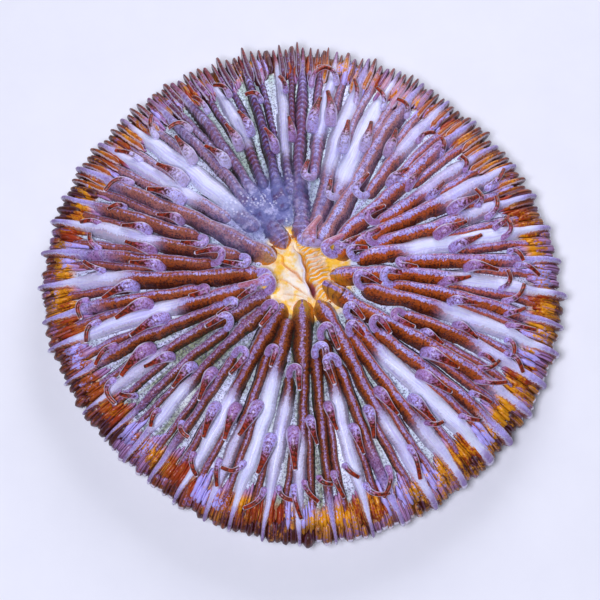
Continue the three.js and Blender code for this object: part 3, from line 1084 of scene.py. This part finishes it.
def ridge_material(name):
    """Lavender crests with fine dots, rust flanks with a fuzzy edge and a dark foot that is partly
    painted shade, bleached stretches, and a golden foot at the rim. Painted light makes the far side
    lighter with a painted highlight on its edge, painted shade darkens the ends over the rim, and
    painted glints mark some ends."""
    held = colours()
    finish = Finish(name)
    outward, across, far, run, low, tone = finish.attributes("outward across far run low tone")
    pale, dusk, brown, blush, olive, red = finish.attributes("pale dusk brown blush olive red")
    coarse = finish.noise(1.8 * MM)
    fine = finish.grain(0.2 * MM)
    fringe = finish.noise(0.6, 2.0, finish.vector(run * 3.2, tone * 20, across * 0.8))
    lines = finish.noise(0.6, 2.0, finish.vector(run * 0.2, tone * 20, across * 5))
    edge = across + (fine - 0.5) * 0.6 + (coarse - 0.5) * 0.3 + (fringe - 0.5) * 0.8
    rings = (run * (TURN / RING_STEP) + across * 2.6 + (coarse - 0.5) * 8).wave()

    browned = brown * (0.5 + 0.6 * coarse) + low * 0.15 + red * (0.1 + 0.35 * coarse)
    ringed = rings.ramp(0.2, 0.65) * fine.ramp(0.72, 0.46) + tone.ramp(0.2, 0.9) * 0.4
    speckled = finish.dots(0.3 * MM) * fine.ramp(0.3, 0.5) * (1 - pale * 0.8)
    ending = outward.ramp(0.82, 0.92) * (1 - low) * (1 - dusk)
    bleached = finish.mix(lines.ramp(0.45, 0.65) * 0.5, held.pale, held.crest)
    crest = finish.layers(
        held.crest,
        (coarse.ramp(0.36, 0.6), held.crest_rose),
        (fringe.ramp(0.5, 0.64) * 0.4, held.pale),
        (browned, held.crest_brown),
        (brown * fine.ramp(0.5, 0.36) * 0.6, held.crest),
        (blush * 0.4, held.pale),
        (dusk * coarse.ramp(0.3, 0.5), held.crest_dusk),
        (dusk * ringed, held.crest_maroon),
        (fine.ramp(0.5, 0.64) * (0.5 - pale * 0.4), held.speckle),
        (speckled * 0.65, held.speckle),
        (ending * 0.6, held.crest),
        (pale * outward.ramp(1.0, 0.94), bleached),
    )

    burnt = edge.ramp(0.5, 1.0) * 0.75 + fine.ramp(0.46, 0.62) * 0.5 + red * 0.2
    flank = finish.layers(
        held.rust,
        (red, held.rust_red),
        (blush * 0.6, held.gold),
        (brown * 0.5, held.foot_olive),
        (burnt, held.rust_deep),
        (outward.ramp(0.2, 0.13) * 0.35, held.mouth_gold),
    )

    # Where rust covers the flanks; it shrinks on the far flank, which is painted lighter as if lit from
    # above
    on_flank = (edge - pale * 0.45 - far * 0.15 + red * 0.28 - brown * 0.1).ramp(0.24, 0.38)
    on_flank = on_flank * finish.attribute("rust") * (1 - pale * 0.8)
    # Painted highlight: a pale line along the far edge of the crest
    painted_far_highlight = edge.ramp(0.5, 0.62) * edge.ramp(0.95, 0.8) * far.ramp(0.2, 0.5)
    bordered = outward.ramp(0.84, 0.9) * edge.ramp(0.4, 0.5) * edge.ramp(0.72, 0.62) * (1 - low)
    golden = outward.ramp(0.86, 0.94) * edge.ramp(0.6, 0.8)
    # Dark foot of the ridges: partly their own olive-green edge, partly painted shade in the crevice by the
    # floor
    foot_and_shade = (edge + dusk * 0.25).ramp(0.9, 1.04) * (1 - pale * 0.85) * outward.ramp(0.13, 0.2)
    # Painted shade: ridge ends darken where they turn down over the rim
    painted_turn_shade = (outward + (coarse - 0.5) * 0.08).ramp(0.96, 1.0)
    tinted = finish.layers(
        crest,
        # The far flank takes much less rust: painted light, as if lit from above
        (on_flank * (1 - far.ramp(0.25, 0.5) * 0.75), flank),
        (painted_far_highlight * 0.6, held.pale),
        (bordered * 0.6, held.pale),
        (golden * 0.85, finish.mix(fine.ramp(0.4, 0.6), held.gold, held.rust)),
        (
            foot_and_shade * (0.45 + 0.5 * (olive + red).ramp(0.1, 0.7)),
            finish.mix(olive, held.rust_deep, held.foot_olive),
        ),
        (edge.ramp(0.75, 0.95) * outward.ramp(0.21, 0.15), held.mouth_amber),
        (dusk * (outward + (fine - 0.5) * 0.06).ramp(0.91, 0.97) * 0.8, held.core),
        # Painted shade: the flanks darken towards the rim's edge
        (outward.ramp(0.95, 1.02) * edge.ramp(0.6, 0.8) * 0.8, held.rust_deep),
        (painted_turn_shade * 0.4, held.crest_maroon),
        # Painted highlight: pale glints on the ends of some ridges
        (painted_glint(outward, across) * tone.ramp(0.3, 0.0) * 0.7, held.tip),
        (finish.attribute("veil") * (0.5 + coarse), finish.veiled(held)),
    )
    relief = fine + speckled * 0.4 + fringe * 0.6
    return finish.wet(tinted, 0.32 + 0.3 * fine, finish.bump(relief, 0.14 * MM))


def fold_material():
    """Folds that are golden in patches and elsewhere rust, with streaks of rose, and painted shade
    that darkens them towards the edge."""
    held = colours()
    finish = Finish("rim_folds")
    outward, across, tone, light, gilt = finish.attributes("outward across tone light gilt")
    fine = finish.grain()
    coarse = finish.noise(2.6 * MM)
    golden = finish.gilded(coarse).ramp(0.42, 0.54)
    mixed = tone + (fine - 0.5) * 2.5 + (coarse - 0.5) * 3.0
    edge = across + (fine - 0.5) * 0.4
    # Painted shade: the folds darken towards the edge, where the rim turns down
    painted_rim_shade = (outward + (coarse - 0.5) * 0.14).ramp(0.94, 0.99)
    tinted = finish.layers(
        held.rust_red,
        (mixed.ramp(0.0, 1.2), held.core),
        (golden * (mixed - gilt * 0.45).ramp(0.7, -0.1), held.gold),
        (mixed.ramp(-0.5, -1.3) * 0.8, held.crest_rose),
        ((outward + tone * 0.035).ramp(0.915, 0.875) * 0.85, held.crest_rose),
        ((light * 1.2 - mixed).ramp(0.8, 1.1), held.crest),
        (painted_rim_shade * (0.6 - gilt * 0.25), held.rust_deep),
        (edge.ramp(0.62, 0.95) * 0.9, held.rust_deep),
    )
    return finish.wet(tinted, 0.35 + 0.2 * fine, finish.bump(fine, FINE_DEPTH))


def lobe_material():
    """Lobes in rust, maroon and rose, golden in patches, with fine dark lines of painted groove shade,
    painted shade towards the edge and a painted highlight at the end, and fingers in gold or rose
    with rust ends."""
    held = colours()
    finish = Finish("rim_lobes")
    outward, across, side, along = finish.attributes("outward across side along")
    tone, light, gilt = finish.attributes("tone light gilt")
    fine = finish.grain()
    coarse = finish.noise(2.6 * MM)
    lines = finish.noise(0.6, 2.0, finish.vector(side * 4, tone * 20, outward * 6))
    golden = finish.gilded(coarse).ramp(0.46, 0.58)
    mixed = tone + (fine - 0.5) * 3.0 + (coarse - 0.5) * 5.0
    edge = across + (fine - 0.5) * 0.5
    lit = (light * 1.2 - mixed).ramp(0.9, 1.2)
    lobe = finish.layers(
        held.rust_red,
        (mixed.ramp(-0.2, 0.9), held.rust_deep),
        (golden * (mixed - gilt * 0.3).ramp(0.6, 0.0) * 0.8, held.gold),
        (mixed.ramp(-0.6, -1.3) * 0.6, held.crest_rose),
        (lit * 0.8, held.crest_rose),
        # Painted shade: fine dark lines stand in for shallow grooves along the lobes
        (lines.ramp(0.44, 0.58) * (0.85 - gilt * 0.2), held.rust_deep),
        (edge.ramp(0.35, 0.5) * edge.ramp(0.75, 0.6) * 0.2, held.crest_rose),
        (edge.ramp(0.65, 0.9) * 0.8, held.rust_deep),
    )
    dusky = finish.mix(fine.ramp(0.3, 0.48), held.crest_dusk, held.crest_maroon)
    ember = finish.mix(fine.ramp(0.4, 0.6), held.core, held.rust_deep)
    finger = finish.layers(
        held.gold,
        (mixed.ramp(-0.6, 0.6), held.rust_red),
        (finish.attribute("dusk").ramp(0.2, 0.5), dusky),
        (lit * 0.7, held.crest_rose),
        ((along + (fine - 0.5) * 0.5).ramp(0.4, 0.65) * 0.9, ember),
        (edge.ramp(0.4, 0.55) * edge.ramp(0.8, 0.65) * 0.6, held.tip),
        (edge.ramp(0.7, 0.85), held.rust_deep),
    )
    # Painted shade: the lobes darken where they hang over the edge
    painted_rim_shade = (outward + (coarse - 0.5) * 0.08).ramp(0.97, 1.01)
    tinted = finish.layers(
        lobe,
        (finish.attribute("finger").ramp(0.3, 0.55), finger),
        (painted_rim_shade * (0.45 - gilt * 0.2), held.rust_deep),
        # Painted highlight: pale glints on the ends of some lobes
        (painted_glint(outward, edge) * tone.ramp(0.0, -0.3) * 0.75, held.tip),
    )
    return finish.wet(tinted, 0.35 + 0.2 * fine, finish.bump(fine, FINE_DEPTH))


def floor_material():
    """Valley floor in lavender, mint and olive, a golden rim and mouth, and bare stone below, with
    painted shade in the inner valleys and at the rim's edge, and painted highlights and shade on the mouth.
    """
    held = colours()
    finish = Finish("coral_body")
    outward, turn, mint, olive, bleach = finish.attributes("outward turn mint olive bleach")
    mouth, slit, lip, fold = finish.attributes("mouth slit lip fold")
    coarse = finish.noise(2.2 * MM)
    fine = finish.grain()
    streaks = finish.noise(0.5, 2.0, finish.vector(turn, outward * 2.0, 0.0))
    golden = finish.layers(
        held.gold,
        (streaks.ramp(0.45, 0.65), held.rust_red),
        # Painted shade: the gold darkens towards the rim's edge, where it turns down
        (outward.ramp(0.93, 0.99) * 0.8, held.rust_deep),
    )
    valley = finish.layers(
        held.valley,
        (mint * streaks.ramp(0.3, 0.6), held.valley_mint),
        (olive * streaks.ramp(0.4, 0.62), held.valley_olive),
        # Painted shade: olive valleys darken towards the crown
        (olive * outward.ramp(0.62, 0.4) * 0.5, held.foot_olive),
        (bleach * 0.9, held.pale),
        (fine.ramp(0.46, 0.58) * (0.15 + 0.65 * olive) * (1 - bleach * 0.7), held.foot_olive),
        (finish.dots(0.32 * MM) * fine.ramp(0.32, 0.48) * 0.75, held.speckle),
        ((outward + (coarse - 0.5) * 0.08).ramp(0.88, 0.94), golden),
        (finish.attribute("veil") * 1.2, finish.veiled(held)),
    )
    blotch = finish.noise(1.1 * MM, 3.0)
    folded = fold + (fine - 0.5) * 0.8
    folds = finish.layers(
        held.mouth_gold,
        (blotch.ramp(0.44, 0.6) * 0.8, held.mouth_cream),
        (lip * blotch.ramp(0.32, 0.58) * 0.9, held.mouth_cream),
        # Painted shade: amber in the lip's creases
        (finish.attribute("crease") * 0.75, held.mouth_amber),
        # Painted highlight on the tops of the band's folds, and painted shade in their troughs
        (folded.ramp(0.1, 0.7) * 0.9, held.mouth_cream),
        (folded.ramp(-0.2, -0.8) * 0.5, held.mouth_amber),
        (finish.attribute("edge") * 0.9, held.tip),
        # Painted shade: amber along the slit
        (slit.ramp(0.3, 0.9) * 0.6, held.mouth_amber),
        (slit.ramp(0.3, 0.8) * finish.attribute("open"), held.mouth_deep),
    )
    stone = finish.mix(coarse, held.underside, held.valley)
    tinted = finish.layers(
        valley,
        ((mouth + (coarse - 0.5) * 0.6).ramp(0.25, 0.45), folds),
        ((finish.attribute("below") + (fine - 0.5) * 0.3).ramp(0.4, 0.7), stone),
    )
    return finish.wet(tinted, 0.38 + 0.3 * fine, finish.bump(fine + blotch * 2.0 * mouth, 0.12 * MM))


def tentacle_material(name):
    """Lavender roots with dots, a rust core from partway along, pale edges and a white tip."""
    held = colours()
    finish = Finish(name)
    along, across, core, tipped = finish.attributes("along across core tipped")
    fine = finish.grain()
    edge = across + (fine - 0.5) * 0.3
    inside = (along - core + (fine - 0.5) * 0.8).ramp(-0.1, 0.22)
    burnt = finish.mix(fine.ramp(0.4, 0.6), held.core, held.rust_deep)
    ember = finish.mix(tipped, held.rust, burnt)
    tinted = finish.layers(
        held.crest,
        (finish.attribute("tone").ramp(-1.0, 1.0), held.crest_rose),
        (fine.ramp(0.45, 0.6) * 0.6, held.crest_brown),
        (finish.dots(0.3 * MM) * 0.45, held.speckle),
        (finish.attribute("blush") * 0.5, held.pale),
        (inside * (0.45 + 0.55 * tipped), ember),
        (edge.ramp(0.5, 0.75) * 0.7, held.tip),
        (along.ramp(0.95, 0.975) * tipped, held.tip),
    )
    return finish.wet(tinted, 0.3 + 0.2 * fine, finish.bump(fine, FINE_DEPTH))


def stage_material():
    """A pale matt floor with a faint grain."""
    finish = Finish("stage_floor")
    grain = finish.noise(6 * MM, 3.0)
    pale_grey = finish.mix(grain, paint(232, 232, 236), paint(240, 240, 242))
    finish.put(finish.shader.inputs["Base Color"], pale_grey)
    finish.put(finish.shader.inputs["Roughness"], 0.6 + 0.1 * grain)
    return finish.material


# Stage

VIEW_ELEVATION = math.radians(72.5)
VIEW_DISTANCE = 0.45
VIEW_WIDTH = 0.0966
VIEW_TARGET = Vector((-0.0003, -0.0022, 0.007))
SENSOR = 36.0
FLOOR_HALF = 1.5
WORLD_STRENGTH = 0.09
# Name, place and size in metres, power in watts, and tint
LIGHTS = (
    ("key_light", (-0.06, -0.15, 0.46), 0.12, 1.85, (0.91, 0.93, 1.1)),
    ("back_light", (0.1, 0.4, 0.22), 0.25, 1.4, (0.9, 0.91, 1.04)),
)


def area_light(name, place, size, power, tint):
    """A square soft light that faces the crown."""
    lamp = bpy.data.lights.new(name, "AREA")
    lamp.size = size
    lamp.energy = power
    lamp.color = tint
    holder = bpy.data.objects.new(name, lamp)
    holder.location = place
    holder.rotation_euler = (VIEW_TARGET - Vector(place)).to_track_quat("-Z", "Y").to_euler()
    bpy.context.scene.collection.objects.link(holder)


def build_stage():
    """The floor, the lights and the camera."""
    scene = bpy.context.scene
    corners = [(-FLOOR_HALF, -FLOOR_HALF, 0), (FLOOR_HALF, -FLOOR_HALF, 0)]
    corners += [(FLOOR_HALF, FLOOR_HALF, 0), (-FLOOR_HALF, FLOOR_HALF, 0)]
    mesh = bpy.data.meshes.new("stage_floor")
    mesh.from_pydata(corners, [], [(0, 1, 2, 3)])
    floor = bpy.data.objects.new("stage_floor", mesh)
    mesh.materials.append(stage_material())
    scene.collection.objects.link(floor)

    for light in LIGHTS:
        area_light(*light)
    world = bpy.data.worlds.new("studio")
    world.use_nodes = True
    background = world.node_tree.nodes["Background"].inputs
    background["Color"].default_value = (*paint(225, 228, 240), 1.0)
    background["Strength"].default_value = WORLD_STRENGTH
    scene.world = world
    scene.view_settings.view_transform = "Standard"

    lens = bpy.data.cameras.new("camera")
    lens.sensor_width = SENSOR
    lens.lens = SENSOR * VIEW_DISTANCE / VIEW_WIDTH
    camera = bpy.data.objects.new("camera", lens)
    away = Vector((0, -math.cos(VIEW_ELEVATION), math.sin(VIEW_ELEVATION)))
    camera.location = VIEW_TARGET + VIEW_DISTANCE * away
    camera.rotation_euler = (-away).to_track_quat("-Z", "Y").to_euler()
    scene.collection.objects.link(camera)
    scene.camera = camera


# Operators

class CORAL_OT_body(bpy.types.Operator):
    """Build the disc with its mouth, rim and underside"""

    bl_idname = "coral.body"
    bl_label = "Disc"

    def execute(self, context):
        build_body()
        return {"FINISHED"}


class CORAL_OT_ridges(bpy.types.Operator):
    """Build the ridges of every cycle"""

    bl_idname = "coral.ridges"
    bl_label = "Ridges"

    def execute(self, context):
        for piece in RIDGE_PIECES:
            build_ridges(*piece)
        return {"FINISHED"}


class CORAL_OT_folds(bpy.types.Operator):
    """Build the fine folds and the lobes of the rim"""

    bl_idname = "coral.folds"
    bl_label = "Rim"

    def execute(self, context):
        build_folds()
        build_lobes()
        return {"FINISHED"}


class CORAL_OT_tentacles(bpy.types.Operator):
    """Build the tentacles"""

    bl_idname = "coral.tentacles"
    bl_label = "Tentacles"

    def execute(self, context):
        build_tentacles("hooked_tentacles", hook_shape(), columns=6)
        build_tentacles("hooded_tentacles", hood_shape(), columns=6)
        build_tentacles("slim_tentacles", slim_shape(), columns=8)
        return {"FINISHED"}


class CORAL_OT_stage(bpy.types.Operator):
    """Build the floor, the lights and the camera"""

    bl_idname = "coral.stage"
    bl_label = "Stage"

    def execute(self, context):
        build_stage()
        return {"FINISHED"}


OPERATORS = (CORAL_OT_body, CORAL_OT_ridges, CORAL_OT_folds, CORAL_OT_tentacles, CORAL_OT_stage)


class CORAL_PT_parts(bpy.types.Panel):
    """Lists the coral's pieces and its sizes"""

    bl_label = "Mushroom Coral"
    bl_idname = "CORAL_PT_parts"
    bl_space_type = "VIEW_3D"
    bl_region_type = "UI"
    bl_category = "Coral"

    def draw(self, context):
        for operator in OPERATORS:
            self.layout.operator(operator.bl_idname)
        for group in (context.scene.coral_sizes, context.scene.coral_colours):
            for key in group.__annotations__:
                self.layout.prop(group, key)


CLASSES = (CoralSizes, CoralColours, *OPERATORS, CORAL_PT_parts)


def register():
    """Adds the classes and the scene's settings."""
    for kind in CLASSES:
        bpy.utils.register_class(kind)
    bpy.types.Scene.coral_sizes = PointerProperty(type=CoralSizes)
    bpy.types.Scene.coral_colours = PointerProperty(type=CoralColours)


def unregister():
    """Takes the classes and the scene's settings away."""
    del bpy.types.Scene.coral_colours
    del bpy.types.Scene.coral_sizes
    for kind in reversed(CLASSES):
        bpy.utils.unregister_class(kind)


def main():
    """Builds every piece in order."""
    register()
    bpy.ops.coral.body()
    bpy.ops.coral.ridges()
    bpy.ops.coral.folds()
    bpy.ops.coral.tentacles()
    bpy.ops.coral.stage()
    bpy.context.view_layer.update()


if __name__ == "__main__":
    main()
